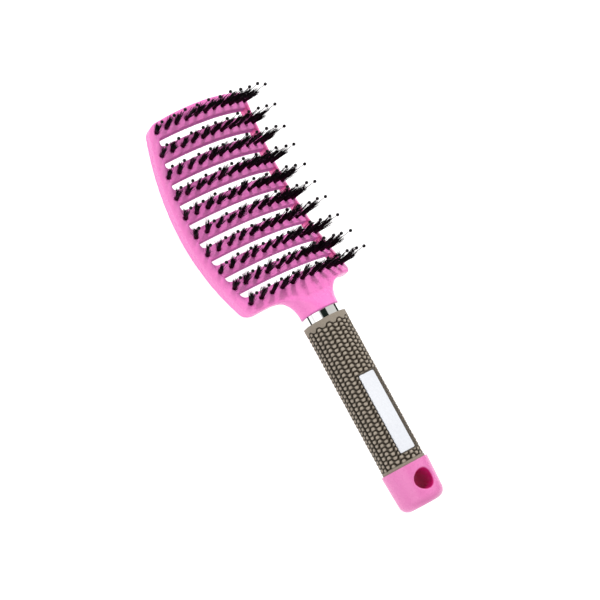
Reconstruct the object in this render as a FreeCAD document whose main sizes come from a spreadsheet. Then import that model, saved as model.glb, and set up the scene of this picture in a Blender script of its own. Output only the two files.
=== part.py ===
import FreeCAD, Part
import os
from math import cos, radians, sin, sqrt

import Sketcher

from FreeCAD import Placement, Rotation, Vector

# Vented detangling hairbrush: an arched, ribbed head full of bristle tufts and ball-tipped
# pins on a round handle with a sleeve, a metal collar and a hanging cap.
#
# Frame, in millimetres: the origin is the centre of the hanging hole, on the handle's axis.
# +X runs along the handle to the tip of the head and +Z is the bristle side.

DRIVING_SIZES = {
    # stations along the handle's axis
    "cap_end": 12.0,  # hole centre back to the cap's end face
    "cap_front": 10.0,  # where the cap meets the grip
    "grip_front": 95.7,  # where the grip meets the collar
    "collar_front": 100.5,  # where the collar meets the neck
    "neck_back": 101.4,  # where the neck starts to flare
    # end cap
    "cap_front_rad": 13.2,
    "cap_back_rad": 12.3,
    "cap_corner": 5.0,
    "cap_seat": 1.2,  # the cap starts this far inside the grip's outer face
    "spigot_rad": 6.9,
    "spigot_length": 11.0,
    "hang_rad": 5.2,
    "hang_edge": 1.2,
    # handle core, grip, collar
    "core_rad": 9.0,
    "core_bore": 7.0,
    "fit_gap": 0.05,
    "grip_rad": 11.9,
    "grip_edge": 0.6,
    "collar_rad": 10.2,
    "collar_cover": 4.0,  # length of collar hidden under the grip
    "collar_edge": 0.3,
    # blank panel let into the grip on the bristle side
    "panel_back": 16.3,
    "panel_length": 44.6,
    "panel_width": 9.4,
    "panel_depth": 1.4,
    "panel_height": 11.3,
    "panel_groove": 0.35,
    "panel_corner": 0.8,
    # head: a saddle, hollow along its length and arched across it
    "spine_x": 178.0,
    "spine_rad": 120.0,
    "section_rad": 70.0,
    "crown_low": -13.4,
    "rim_rise": 0.4,
    "rim_depth": 7.0,
    "rim_top": 1.9,
    "rim_wall": 3.5,
    "rib_depth": 4.6,
    # head outline, seen from the bristle side
    "tip_x": 230.4,
    "tip_bow": 1.2,
    "tip_corner": 3.3,
    "half_width": 36.1,
    "apex_x": 162.0,
    "side_rad": 458.0,
    "heel_x": 114.5,
    "heel_corner": 4.0,
    "outline_up": 30.0,
    "outline_down": 50.0,
    # neck
    "neck_rad": 10.8,
    "shoulder_rad": 13.4,
    "neck_fade": 15.0,  # how far past the heel the neck fades into the underside
    "tang_rad": 6.95,
    "tang_length": 26.0,
    # vents between the ribs
    "row_pitch": 11.57,
    "slot_width": 4.2,
    "slot_shift": 0.15,  # each vent sits this far to the tip side of the middle between rows
    "slot_margin": 3.7,
    "slot_tip_corner": 1.2,
    "slot_heel_corner": 2.4,
    # bristle field
    "last_row_x": 224.7,
    "row_half_arc": 33.3,
    "row_arc_lean": 1.5,
    "row_arc_bow": 12.3,
    "fan": 0.62,  # share of the surface's own tilt that the bristles follow
    "row_lean": -0.6,  # degrees towards the tip, mean of all rows
    "row_lean_spread": 2.7,  # degrees more at the tenth row, less at the first
    "hole_rad": 1.3,
    "hole_depth": 3.2,
    "tuft_root_rad": 1.25,
    "tuft_tip_rad": 2.3,
    "tuft_length": 13.0,
    "pin_rad": 0.35,
    "pin_length": 19.7,
    "ball_rad": 0.9,
    "staple_width": 2.3,
    "staple_thick": 0.35,
    "staple_tall": 0.8,
}

ROWS = 10
TUFTS = 11

doc = FreeCAD.newDocument("vented_hairbrush")
sizes = doc.addObject("Spreadsheet::Sheet", "sizes")
for line, (alias, value) in enumerate(DRIVING_SIZES.items(), start=1):
    sizes.set("A%d" % line, alias)
    sizes.set("B%d" % line, str(value))
    sizes.setAlias("B%d" % line, alias)
doc.recompute()

subparts = {}


def size(alias):
    return float(sizes.get(alias))


def bind(thing, name, expression):
    """Tie a property or a named sketch constraint to cells of the sheet."""
    thing.setExpression(name, expression)


def cell(text):
    """Turn a formula of bare aliases into one that reads the sheet."""
    words = text.split(" ")
    return " ".join("sizes." + w if w in DRIVING_SIZES else w for w in words)


def keep(name, thing):
    thing.Label = name
    subparts[name] = thing
    return thing


def new_body(name):
    return doc.addObject("PartDesign::Body", name)


def origin_plane(body, role):
    for feature in body.Origin.OriginFeatures:
        if feature.Role == role:
            return feature
    raise ValueError("no plane " + role)


def new_sketch(body, name, role):
    sketch = body.newObject("Sketcher::SketchObject", name)
    sketch.AttachmentSupport = [(origin_plane(body, role), "")]
    sketch.MapMode = "FlatFace"
    return sketch


def hold_point(sketch, tag, line, end, across, along):
    """Fix one end of a line at two formulas measured from the sketch's origin."""
    for kind, formula in (("DistanceX", across), ("DistanceY", along)):
        if formula == "0":
            axis = -2 if kind == "DistanceX" else -1
            sketch.addConstraint(Sketcher.Constraint("PointOnObject", line, end, axis))
            continue
        value = sketch.evalExpression(cell(formula))
        value = getattr(value, "Value", value)
        index = sketch.addConstraint(Sketcher.Constraint(kind, -1, 1, line, end, value))
        label = "%s_%s" % (tag, kind[-1].lower())
        sketch.renameConstraint(index, label)
        bind(sketch, "Constraints." + label, cell(formula))


def profile(sketch, corners):
    """Draw a closed outline through corners given as pairs of formulas."""
    points = []
    for across, along in corners:
        pair = [sketch.evalExpression(cell(f)) for f in (across, along)]
        points.append(Vector(*[float(getattr(v, "Value", v)) for v in pair], 0))
    count = len(points)
    for i in range(count):
        sketch.addGeometry(Part.LineSegment(points[i], points[(i + 1) % count]), False)
    for i in range(count):
        sketch.addConstraint(Sketcher.Constraint("Coincident", i, 2, (i + 1) % count, 1))
    for i, (across, along) in enumerate(corners):
        hold_point(sketch, "p%d" % i, i, 1, across, along)


def revolve(body, sketch, axis):
    turn = body.newObject("PartDesign::Revolution", body.Name + "_turn")
    turn.Profile = sketch
    turn.ReferenceAxis = (sketch, [axis])
    turn.Angle = 360
    sketch.Visibility = False
    return turn


def common(name, base, tool):
    result = doc.addObject("Part::MultiCommon", name)
    result.Shapes = [base, tool]
    return result


def cut(name, base, tool):
    result = doc.addObject("Part::Cut", name)
    result.Base = base
    result.Tool = tool
    return result


def fuse(name, pieces):
    result = doc.addObject("Part::MultiFuse", name)
    result.Shapes = pieces
    return result


def saddle(name, section):
    """A torus whose inner equator is the crown of the head's arched surface."""
    ring = doc.addObject("Part::Torus", name)
    bind(ring, "Radius1", cell("spine_rad + section_rad"))
    bind(ring, "Radius2", cell(section))
    ring.Placement = Placement(Vector(), Rotation(Vector(1, 0, 0), 90))
    bind(ring, ".Placement.Base.x", cell("spine_x"))
    bind(ring, ".Placement.Base.z", cell("crown_low + spine_rad"))
    return ring


def side_width(station):
    """Half the head's width at a station, as a formula."""
    fall = "sqrt( side_rad ^ 2 - ( %s - apex_x ) ^ 2 )" % station
    return "half_width - side_rad + " + fall


def corner_edges(shape, x_low, x_high, y_low):
    """Upright edges of a padded outline whose corner lies in a band of X, beyond y_low."""
    names = []
    for i, edge in enumerate(shape.Edges, start=1):
        first = edge.Vertexes[0].Point
        last = edge.Vertexes[-1].Point
        upright = abs(first.x - last.x) + abs(first.y - last.y) < 1e-6
        if upright and x_low < first.x < x_high and abs(first.y) > y_low:
            names.append("Edge%d" % i)
    return names


def head_outline(name, inset):
    """The head seen from the bristle side, padded right through, drawn in by an inset."""
    body = new_body(name)
    sketch = new_sketch(body, name + "_sketch", "XY_Plane")
    bind(sketch, ".AttachmentOffset.Base.z", cell("0 - outline_down"))
    heel = "heel_x + " + inset
    tip = "tip_x - tip_bow - " + inset
    heel_y = side_width("heel_x") + " - " + inset
    tip_y = side_width("tip_x") + " - " + inset
    corners = [
        (heel, "0 - ( %s )" % heel_y),
        (tip, "0 - ( %s )" % tip_y),
        (tip, tip_y),
        (heel, heel_y),
    ]
    at = []
    for across, along in corners:
        at.append(Vector(sketch.evalExpression(cell(across)), sketch.evalExpression(cell(along)), 0))
    bulge = Vector(0, size("half_width") - at[3].y, 0)
    bow = Vector(size("tip_bow"), 0, 0)
    middle = (at[2] + at[3]) * 0.5
    sketch.addGeometry(Part.Arc(at[0], (at[0] + at[1]) * 0.5 - bulge, at[1]), False)
    sketch.addGeometry(Part.Arc(at[1], (at[1] + at[2]) * 0.5 + bow, at[2]), False)
    sketch.addGeometry(Part.Arc(at[2], middle + bulge, at[3]), False)
    sketch.addGeometry(Part.LineSegment(at[3], at[0]), False)
    for i in range(4):
        sketch.addConstraint(Sketcher.Constraint("Coincident", i, 2, (i + 1) % 4, 1))
    for i, (across, along) in enumerate(corners):
        hold_point(sketch, "p%d" % i, i, 1, across, along)
    tip_rad = "( ( %s ) ^ 2 + tip_bow ^ 2 ) / ( 2 * tip_bow )" % tip_y
    radii = {0: "side_rad - " + inset, 1: tip_rad, 2: "side_rad - " + inset}
    for arc, formula in radii.items():
        value = sketch.evalExpression(cell(formula))
        index = sketch.addConstraint(Sketcher.Constraint("Radius", arc, value))
        label = "arc_%d" % arc
        sketch.renameConstraint(index, label)
        bind(sketch, "Constraints." + label, cell(formula))
    pad = body.newObject("PartDesign::Pad", name + "_pad")
    pad.Profile = sketch
    bind(pad, "Length", cell("outline_up + outline_down"))
    sketch.Visibility = False
    doc.recompute()
    last = pad
    for corner, near, far in (("tip_corner", 200, 300), ("heel_corner", 100, 150)):
        fillet = body.newObject("PartDesign::Fillet", name + "_" + corner)
        fillet.Base = (last, corner_edges(last.Shape, near, far, 20))
        bind(fillet, "Radius", cell(corner + " - 0.5 * " + inset))
        doc.recompute()
        last = fillet
    return body


def neck_section(number, station, width, height):
    """One ellipse across the neck, for the loft that flares into the heel."""
    ring = doc.addObject("Part::Ellipse", "neck_section_%d" % number)
    bind(ring, "MajorRadius", cell(width))
    bind(ring, "MinorRadius", cell(height))
    ring.Placement = Placement(Vector(), Rotation(Vector(0, 1, 0), Vector(0, 0, 1), Vector(1, 0, 0), "XYZ"))
    bind(ring, ".Placement.Base.x", cell(station))
    return ring


def make_neck():
    """Round at the collar, flaring sideways in a concave arc and fading under the heel."""
    sections = []
    flare = "( heel_x - neck_back )"
    for i, share in enumerate((0.0, 0.3, 0.55, 0.75, 0.9, 1.0)):
        run = "%s * %s" % (share, flare)
        width = "neck_rad + shoulder_rad - sqrt( shoulder_rad ^ 2 - ( %s ) ^ 2 )" % run
        height = "neck_rad - 0.14 * ( %s )" % run
        sections.append(neck_section(i, "neck_back + " + run, width, height))
    full = "neck_rad + shoulder_rad - sqrt( shoulder_rad ^ 2 - ( %s ) ^ 2 )" % flare
    for i, (share, wide, tall) in enumerate(((0.35, 0.93, 0.72), (0.7, 0.68, 0.45), (1.0, 0.34, 0.22))):
        station = "heel_x + %s * neck_fade" % share
        width = "%s * ( %s )" % (wide, full)
        sections.append(neck_section(i + 6, station, width, "%s * neck_rad" % tall))
    loft = doc.addObject("Part::Loft", "neck_loft")
    loft.Sections = sections
    loft.Solid = True
    loft.Ruled = False
    return loft


def make_slots():
    """Nine straight vents between the ribs, their corners rounder on the heel side."""
    strips = []
    for i in range(ROWS - 1):
        strip = doc.addObject("Part::Box", "slot_strip_%d" % (i + 1))
        bind(strip, "Length", cell("slot_width"))
        bind(strip, "Width", cell("2 * half_width"))
        bind(strip, "Height", cell("outline_up + outline_down"))
        station = "last_row_x - ( %d + 0.5 ) * row_pitch + slot_shift - 0.5 * slot_width" % i
        bind(strip, ".Placement.Base.x", cell(station))
        bind(strip, ".Placement.Base.y", cell("0 - half_width"))
        bind(strip, ".Placement.Base.z", cell("0 - outline_down"))
        strips.append(strip)
    comb = doc.addObject("Part::Compound", "slot_strips")
    comb.Links = strips
    trimmed = common("slot_blanks", comb, head_outline("slot_outline", "slot_margin"))
    doc.recompute()
    rounded = doc.addObject("Part::Fillet", "slots")
    rounded.Base = trimmed
    first_middle = size("last_row_x") - 0.5 * size("row_pitch") + size("slot_shift")
    edges = []
    for i, edge in enumerate(trimmed.Shape.Edges, start=1):
        first = edge.Vertexes[0].Point
        last = edge.Vertexes[-1].Point
        if abs(first.x - last.x) + abs(first.y - last.y) < 1e-6:
            pitches = (first_middle - first.x) / size("row_pitch")
            radius = size("slot_tip_corner" if pitches < round(pitches) else "slot_heel_corner")
            edges.append((i, radius, radius))
    rounded.Edges = edges
    return rounded


def bristle_seats(row):
    """Foot and direction of each tuft in a row, counted from 0 at the tip of the head."""
    station = size("last_row_x") - row * size("row_pitch")
    along = row / (ROWS - 1) - 0.5
    half_arc = size("row_half_arc") + size("row_arc_lean") * along - size("row_arc_bow") * along**2
    lean = radians(size("row_lean") + 2 * along * size("row_lean_spread"))
    spine = size("spine_rad")
    section = size("section_rad")
    seats = []
    for j in range(TUFTS):
        tilt = (1 - 2 * j / (TUFTS - 1)) * half_arc / section
        fall = section * (1 - cos(tilt))
        reach = sqrt((spine + fall) ** 2 - (station - size("spine_x")) ** 2)
        foot = Vector(station, section * sin(tilt), size("crown_low") + spine - reach)
        side = size("fan") * tilt
        way = Vector(sin(lean), cos(lean) * sin(side), cos(lean) * cos(side))
        seats.append((foot, way))
    return seats


def make_drilling():
    """All the blind tuft holes, as one compound of round plugs."""
    plugs = []
    for row in range(ROWS):
        for foot, way in bristle_seats(row):
            start = foot - way * size("hole_depth")
            plugs.append(Part.makeCylinder(size("hole_rad"), size("hole_depth") + 3, start, way))
    drilling = doc.addObject("Part::Feature", "tuft_holes")
    drilling.Shape = Part.makeCompound(plugs)
    return drilling


def make_lip():
    """The short round lip by which the neck meets the collar."""
    lip = doc.addObject("Part::Cylinder", "neck_lip")
    bind(lip, "Radius", cell("neck_rad"))
    bind(lip, "Height", cell("neck_back - collar_front"))
    lip.Placement = Placement(Vector(), Rotation(Vector(0, 1, 0), 90))
    bind(lip, ".Placement.Base.x", cell("collar_front"))
    return lip


def make_tang():
    tang = doc.addObject("Part::Cylinder", "tang")
    bind(tang, "Radius", cell("tang_rad"))
    bind(tang, "Height", cell("tang_length + 4"))
    tang.Placement = Placement(Vector(), Rotation(Vector(0, 1, 0), 90))
    bind(tang, ".Placement.Base.x", cell("neck_back - tang_length"))
    return tang


def make_head():
    crown = saddle("crown_form", "section_rad + rim_rise")
    field = saddle("field_form", "section_rad")
    hollow = saddle("hollow_form", "section_rad - rim_depth")
    belly = saddle("belly_form", "section_rad - rib_depth")
    plate = cut("plate", common("plate_blank", head_outline("outer_outline", "0"), crown), hollow)
    sunk = cut("field_recess", head_outline("ridge_outline", "rim_top"), field)
    under = common("under_recess", head_outline("wall_outline", "rim_wall"), belly)
    framed = cut("ribbed_plate", cut("sunk_plate", plate, sunk), under)
    neck = common("neck_trimmed", make_neck(), field)
    joined = fuse("plate_and_neck", [framed, neck, make_lip(), make_tang()])
    vented = cut("vented_head", joined, make_slots())
    return keep("head_frame", cut("drilled_head", vented, make_drilling()))


def make_tuft_form():
    """One tuft standing on the origin along +Z: a round root, a spreading brush, a bore."""
    root = doc.addObject("Part::Cylinder", "tuft_root")
    bind(root, "Radius", cell("tuft_root_rad"))
    bind(root, "Height", cell("hole_depth - staple_tall"))
    bind(root, ".Placement.Base.z", cell("staple_tall - hole_depth"))
    spray = doc.addObject("Part::Cone", "tuft_spray")
    bind(spray, "Radius1", cell("tuft_root_rad"))
    bind(spray, "Radius2", cell("tuft_tip_rad"))
    bind(spray, "Height", cell("tuft_length"))
    bore = doc.addObject("Part::Cylinder", "tuft_bore")
    bind(bore, "Radius", cell("pin_rad + fit_gap"))
    bind(bore, "Height", cell("tuft_length + hole_depth + 2"))
    bind(bore, ".Placement.Base.z", cell("0 - hole_depth - 1"))
    return cut("tuft_form", fuse("tuft_solid", [root, spray]), bore)


def make_pin_form():
    """One pin: a thin rod from just above the staple to a ball tip."""
    rod = doc.addObject("Part::Cylinder", "pin_rod")
    bind(rod, "Radius", cell("pin_rad"))
    bind(rod, "Height", cell("hole_depth - staple_tall + pin_length"))
    bind(rod, ".Placement.Base.z", cell("staple_tall - hole_depth"))
    ball = doc.addObject("Part::Sphere", "pin_ball")
    bind(ball, "Radius", cell("ball_rad"))
    bind(ball, ".Placement.Base.z", cell("pin_length"))
    return fuse("pin_form", [rod, ball])


def make_staple_form():
    """The flat wire anchor at the bottom of a tuft hole."""
    staple = doc.addObject("Part::Box", "staple_form")
    bind(staple, "Length", cell("staple_thick"))
    bind(staple, "Width", cell("staple_width"))
    bind(staple, "Height", cell("staple_tall"))
    bind(staple, ".Placement.Base.x", cell("0 - 0.5 * staple_thick"))
    bind(staple, ".Placement.Base.y", cell("0 - 0.5 * staple_width"))
    bind(staple, ".Placement.Base.z", cell("0 - hole_depth"))
    return staple


def make_rows():
    """Copies of the tuft, the pin and the staple in every hole, one node of each a row."""
    forms = {"tuft": make_tuft_form(), "pin": make_pin_form(), "staple": make_staple_form()}
    doc.recompute()
    for row in range(ROWS):
        for kind, form in forms.items():
            copies = []
            for foot, way in bristle_seats(row):
                copy = form.Shape.copy()
                copy.Placement = Placement(foot, Rotation(Vector(0, 0, 1), way)).multiply(copy.Placement)
                copies.append(copy)
            group = doc.addObject("Part::Feature", "%ss_%02d" % (kind, row + 1))
            group.Shape = Part.makeCompound(copies)
            keep("%s_row_%02d" % (kind, row + 1), group)


def make_end_cap():
    """A rounded cap with a spigot into the core and a hole right through for hanging."""
    body = new_body("end_cap_body")
    sketch = new_sketch(body, "cap_profile", "XZ_Plane")
    step = "cap_front - cap_seat"
    profile(
        sketch,
        [
            ("0 - cap_end", "0"),
            ("0 - cap_end", "cap_back_rad"),
            ("cap_front", "cap_front_rad"),
            ("cap_front", "grip_rad + fit_gap"),
            (step, "grip_rad + fit_gap"),
            (step, "spigot_rad"),
            (step + " + spigot_length", "spigot_rad"),
            (step + " + spigot_length", "0"),
        ],
    )
    turned = revolve(body, sketch, "H_Axis")
    doc.recompute()
    rim = round_edges(body, turned, "cap_end_round", "cap_corner", at_station(turned.Shape, "0 - cap_end"))
    hole_sketch = new_sketch(body, "hang_hole", "XY_Plane")
    hole_sketch.addGeometry(Part.Circle(Vector(0, 0, 0), Vector(0, 0, 1), size("hang_rad")), False)
    hole_sketch.addConstraint(Sketcher.Constraint("Coincident", 0, 3, -1, 1))
    index = hole_sketch.addConstraint(Sketcher.Constraint("Radius", 0, size("hang_rad")))
    hole_sketch.renameConstraint(index, "hole")
    bind(hole_sketch, "Constraints.hole", cell("hang_rad"))
    hole = body.newObject("PartDesign::Pocket", "hang_pocket")
    hole.Profile = hole_sketch
    hole.Type = "ThroughAll"
    hole.SideType = "Symmetric"
    hole_sketch.Visibility = False
    doc.recompute()
    assert hole.Shape.Volume < rim.Shape.Volume - 100
    mouth = []
    for i, edge in enumerate(hole.Shape.Edges, start=1):
        reach = [sqrt(point.x**2 + point.y**2) for point in edge.discretize(5)]
        on_hole = max(abs(r - size("hang_rad")) for r in reach) < 1e-4
        if on_hole and edge.Curve.TypeId != "Part::GeomLine":
            mouth.append("Edge%d" % i)
    round_edges(body, hole, "hang_round", "hang_edge", mouth)
    return keep("end_cap", body)


def at_station(shape, formula):
    """Names of the round edges that lie wholly at one station along X."""
    station = sizes.evalExpression(cell(formula))
    names = []
    for i, edge in enumerate(shape.Edges, start=1):
        box = edge.BoundBox
        if abs(box.XMin - station) < 1e-3 and abs(box.XMax - station) < 1e-3:
            names.append("Edge%d" % i)
    return names


def round_edges(body, base, name, radius, edges):
    fillet = body.newObject("PartDesign::Fillet", name)
    fillet.Base = (base, edges)
    bind(fillet, "Radius", cell(radius))
    doc.recompute()
    return fillet


def make_core():
    """A hard tube through the grip: the cap plugs one end and the head's tang the other."""
    body = new_body("handle_core_body")
    sketch = new_sketch(body, "core_profile", "XZ_Plane")
    back = "cap_front - cap_seat + fit_gap"
    front = "collar_front - fit_gap"
    profile(sketch, [(back, "core_bore"), (back, "core_rad"), (front, "core_rad"), (front, "core_bore")])
    revolve(body, sketch, "H_Axis")
    return keep("handle_core", body)


def make_collar():
    body = new_body("collar_body")
    sketch = new_sketch(body, "collar_profile", "XZ_Plane")
    back = "grip_front - collar_cover"
    profile(
        sketch,
        [
            (back, "core_rad + fit_gap"),
            (back, "collar_rad"),
            ("collar_front", "collar_rad"),
            ("collar_front", "core_rad + fit_gap"),
        ],
    )
    turned = revolve(body, sketch, "H_Axis")
    doc.recompute()
    round_edges(body, turned, "collar_round", "collar_edge", at_station(turned.Shape, "collar_front"))
    return keep("collar", body)


def make_grip():
    """The sleeve, with a counterbore over the collar and a shallow bay for the panel."""
    body = new_body("grip_body")
    sketch = new_sketch(body, "grip_profile", "XZ_Plane")
    back = "cap_front - cap_seat + fit_gap"
    seat = "grip_front - collar_cover - fit_gap"
    profile(
        sketch,
        [
            (back, "core_rad + fit_gap"),
            (back, "grip_rad"),
            ("grip_front", "grip_rad"),
            ("grip_front", "collar_rad + fit_gap"),
            (seat, "collar_rad + fit_gap"),
            (seat, "core_rad + fit_gap"),
        ],
    )
    turned = revolve(body, sketch, "H_Axis")
    doc.recompute()
    sleeve = round_edges(body, turned, "grip_round", "grip_edge", at_station(turned.Shape, "grip_front"))
    bay_sketch = new_sketch(body, "bay_outline", "XY_Plane")
    bind(bay_sketch, ".AttachmentOffset.Base.z", cell("panel_height - panel_depth"))
    low = "panel_back - panel_groove"
    high = "panel_back + panel_length + panel_groove"
    side = "0.5 * panel_width + panel_groove"
    profile(bay_sketch, [(low, "0 - ( %s )" % side), (high, "0 - ( %s )" % side), (high, side), (low, side)])
    bay = body.newObject("PartDesign::Pocket", "panel_bay")
    bay.Profile = bay_sketch
    bind(bay, "Length", cell("grip_rad"))
    bay.Reversed = True
    bay_sketch.Visibility = False
    doc.recompute()
    assert bay.Shape.Volume < sleeve.Shape.Volume - 50
    return keep("grip_sleeve", body)


def make_panel():
    """The blank flat panel that fills the bay."""
    body = new_body("panel_body")
    sketch = new_sketch(body, "panel_outline", "XY_Plane")
    bind(sketch, ".AttachmentOffset.Base.z", cell("panel_height - panel_depth + fit_gap"))
    front = "panel_back + panel_length"
    profile(
        sketch,
        [
            ("panel_back", "0 - 0.5 * panel_width"),
            (front, "0 - 0.5 * panel_width"),
            (front, "0.5 * panel_width"),
            ("panel_back", "0.5 * panel_width"),
        ],
    )
    pad = body.newObject("PartDesign::Pad", "panel_pad")
    pad.Profile = sketch
    bind(pad, "Length", cell("panel_depth - fit_gap"))
    sketch.Visibility = False
    doc.recompute()
    upright = []
    for i, edge in enumerate(pad.Shape.Edges, start=1):
        if edge.BoundBox.ZLength > 0.5 * size("panel_depth"):
            upright.append("Edge%d" % i)
    round_edges(body, pad, "panel_corners", "panel_corner", upright)
    return keep("label_panel", body)


def check_document():
    doc.recompute()
    for thing in doc.Objects:
        if "Invalid" in thing.State or "Error" in thing.State:
            raise RuntimeError("%s failed: %s" % (thing.Name, thing.State))
    for name, thing in subparts.items():
        if thing.Shape.isNull() or not thing.Shape.isValid():
            raise RuntimeError("%s has no valid shape" % name)


def export_parts():
    os.makedirs("parts", exist_ok=True)
    for name, thing in subparts.items():
        thing.Shape.exportStep("parts/%s.step" % name)
        print(name, len(thing.Shape.Solids), "solids", round(thing.Shape.Volume, 1), "mm3")


make_head()
make_core()
make_collar()
make_grip()
make_panel()
make_end_cap()
make_rows()
check_document()
export_parts()
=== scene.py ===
from math import asin, cos, pi, radians, sin, sqrt

import bmesh
import bpy
import numpy as np
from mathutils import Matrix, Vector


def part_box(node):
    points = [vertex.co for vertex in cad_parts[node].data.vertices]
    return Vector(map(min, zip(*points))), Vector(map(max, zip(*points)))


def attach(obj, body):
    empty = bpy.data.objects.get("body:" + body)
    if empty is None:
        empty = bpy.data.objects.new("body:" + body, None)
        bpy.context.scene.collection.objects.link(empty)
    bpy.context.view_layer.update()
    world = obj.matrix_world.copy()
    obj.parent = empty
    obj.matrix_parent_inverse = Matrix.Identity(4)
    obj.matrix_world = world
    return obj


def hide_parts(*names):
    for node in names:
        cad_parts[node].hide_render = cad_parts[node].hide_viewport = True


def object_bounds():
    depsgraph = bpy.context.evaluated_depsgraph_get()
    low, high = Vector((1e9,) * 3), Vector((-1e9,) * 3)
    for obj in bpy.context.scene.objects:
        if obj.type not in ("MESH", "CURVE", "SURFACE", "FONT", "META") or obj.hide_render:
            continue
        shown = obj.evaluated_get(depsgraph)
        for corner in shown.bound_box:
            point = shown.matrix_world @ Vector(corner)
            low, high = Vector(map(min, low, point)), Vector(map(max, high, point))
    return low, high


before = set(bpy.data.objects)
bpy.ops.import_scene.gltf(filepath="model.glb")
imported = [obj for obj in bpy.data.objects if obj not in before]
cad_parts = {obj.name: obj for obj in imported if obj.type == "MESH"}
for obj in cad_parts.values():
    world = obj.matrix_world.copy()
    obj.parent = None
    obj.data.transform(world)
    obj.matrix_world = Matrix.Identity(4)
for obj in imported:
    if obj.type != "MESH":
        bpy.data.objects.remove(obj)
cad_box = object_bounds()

import openvdb
from mathutils import Matrix, Vector

MM = 0.001

# ---------------------------------------------------------------- sizes, in millimetres
# The frame's origin is the centre of the hanging hole; +X runs to the tip, +Z is the bristle side.
# The head is a saddle: SPINE_RAD is its hollow along X, SECTION_RAD its arch across.
SPINE_X, SPINE_RAD, SECTION_RAD, CROWN_LOW = 178.0, 120.0, 70.0, -13.4
SPINE_Z = CROWN_LOW + SPINE_RAD
RING_RAD = SPINE_RAD + SECTION_RAD

# The head's outline, seen from the bristle side.
HALF_WIDTH, APEX_X, SIDE_RAD = 36.1, 162.0, 458.0
HEEL_X, TIP_X, TIP_RAD = 114.5, 230.4, 400.0
TIP_CORNER, HEEL_CORNER = 3.3, 4.0

# The rim stands up near the outline, with a low ridge inside it, and fades in from the heel.
RIM_RISE, RIM_RISE_IN, RIM_RISE_RUN = 0.4, 3.1, 1.6
RIM_RIDGE, RIM_RIDGE_IN, RIM_RIDGE_RUN = 0.6, 3.0, 0.75
RIM_HEEL_FADE = (2, 8)
RIM_DEPTH, RIM_WALL, RIM_ROUND = 7.0, 3.5, 1.9
RIB_DEPTH = 4.6
WALL_EDGE, UNDER_EDGE, INNER_EDGE = 0.9, 0.8, 0.6

# The neck, the tang inside the grip, and the dark line of painted reflection drawn on the collar.
COLLAR_FRONT, NECK_X, NECK_RAD, SHOULDER_RAD = 100.5, 101.4, 10.8, 13.4
NECK_DROP, NECK_EDGE, NECK_FILLET = 0.14, 0.35, 2.4
NECK_FADE = 15.0
NECK_FADE_STEPS = (0, 0.35, 0.7, 1)
NECK_FADE_WIDE = (1, 0.93, 0.68, 0.34)
NECK_FADE_TALL = (1, 0.8, 0.5, 0.24)
TANG_RAD, TANG_END, TANG_OVERLAP = 6.95, 75.4, 2
PAINTED_REFLECTION_ON_COLLAR = radians(73.8)
PAINTED_REFLECTION_ON_COLLAR_EDGE = (radians(2.0), radians(4.4))

# Rows of tuft holes, and the vents between them.
ROWS, TUFTS = 10, 11
LAST_ROW_X, ROW_PITCH = 224.7, 11.57
ROW_HALF_ARC, ROW_ARC_LEAN, ROW_ARC_BOW = 33.3, 1.5, 12.3
SLOT_WIDTH, SLOT_SHIFT, SLOT_MARGIN = 4.2, 0.15, 3.7
SLOT_TIP_CORNER, SLOT_HEEL_CORNER, SLOT_EDGE, SLOT_DRAFT = 1.2, 2.4, 0.4, 0.05
HOLE_RAD, HOLE_DEPTH, HOLE_EDGE = 1.3, 3.2, 0.3

# Painted shade and painted glow on the head: how deep the field's and the collar lip's painted shade
# are beside the vent walls' 1, and for each edge of each, how far past the edge it starts and over
# what run it comes in.
FIELD_SHADE, LIP_SHADE = 0.3, 0.5
VENT_END_FADE, VENT_SIDE_FADE, VENT_TOP_FADE = (0.2, 0.5), (-0.35, 0.3), (0.25, 0.5)
COLLAR_LIP_FADE, COLLAR_BORE_FADE = (-0.9, 0.5), (0.5, 0.2)
FIELD_RIM_FADE, FIELD_HEEL_FADE, FIELD_UNDER_FADE = (1.7, 1.0), (2.5, 4), (-2.0, 0.5)
PAINTED_GLOW_INNER_FADE, PAINTED_GLOW_OUTER_FADE, PAINTED_GLOW_SIDE_FADE = (-1.2, 0.8), (0.5, 0.9), (-4.6, 1.8)

# Mesh step of the head, and the room left round the CAD's box.
HEAD_STEP, HEAD_MARGIN = 0.5, 1.5

# One tuft: strands gathered in clumps, some of them stray, their feet buried in the hole.
TUFT_STRANDS, TUFT_CLUMPS, TUFT_WANDER = 92, 8, 0.03
STRAND_LENGTH, STRAND_BURIED = 11.6, 1.2
STRAND_THICK, STRAND_TAPER, STRAND_BOW = (0.11, 0.145), 0.6, 0.6
STRAND_FLARE, STRAND_STEPS = 0.85, (0.0, 0.3, 0.6, 0.85, 1.0)
ROOT_SCATTER, LENGTH_SCATTER, FLARE_SCATTER, DRIFT_SCATTER = 0.17, 0.8, 0.35, 0.26
STRAY_SHARE, STRAY_EXTRA, STRAY_DRIFT = 0.12, (0.4, 2.6), 3.0
CLUMP_REACH, CLUMP_DRIFT, CLUMP_LENGTH = 0.66, 0.62, 1.0

# One pin: a rod from inside the hole, tapering to a waist under a slightly long ball.
PIN_SINK, PIN_RAD, PIN_AROUND, PIN_WANDER = 2.4, 0.36, 12, 0.018
PIN_STEM_AT, PIN_STEM_RAD = 8.0, 0.24
PIN_WAIST_AT, PIN_WAIST_RAD = 18.0, 0.14
PIN_BALL_AT, PIN_BALL_RAD, PIN_BALL_STRETCH, PIN_BALL_STEPS = 19.75, 0.93, 1.06, 8

# The grip's tube: its mouth takes the collar, its bore the core.
GRIP_BACK, GRIP_FRONT, GRIP_RAD, GRIP_END_DROP = 8.9, 95.7, 12.1, 0.35
MOUTH_RAD, MOUTH_CHAMFER, MOUTH_EDGE, MOUTH_DEPTH, BORE_RAD = 10.25, 0.2, 0.25, 4.05, 9.05
GRIP_STEP, GRIP_AROUND = 0.27, 276

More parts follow.
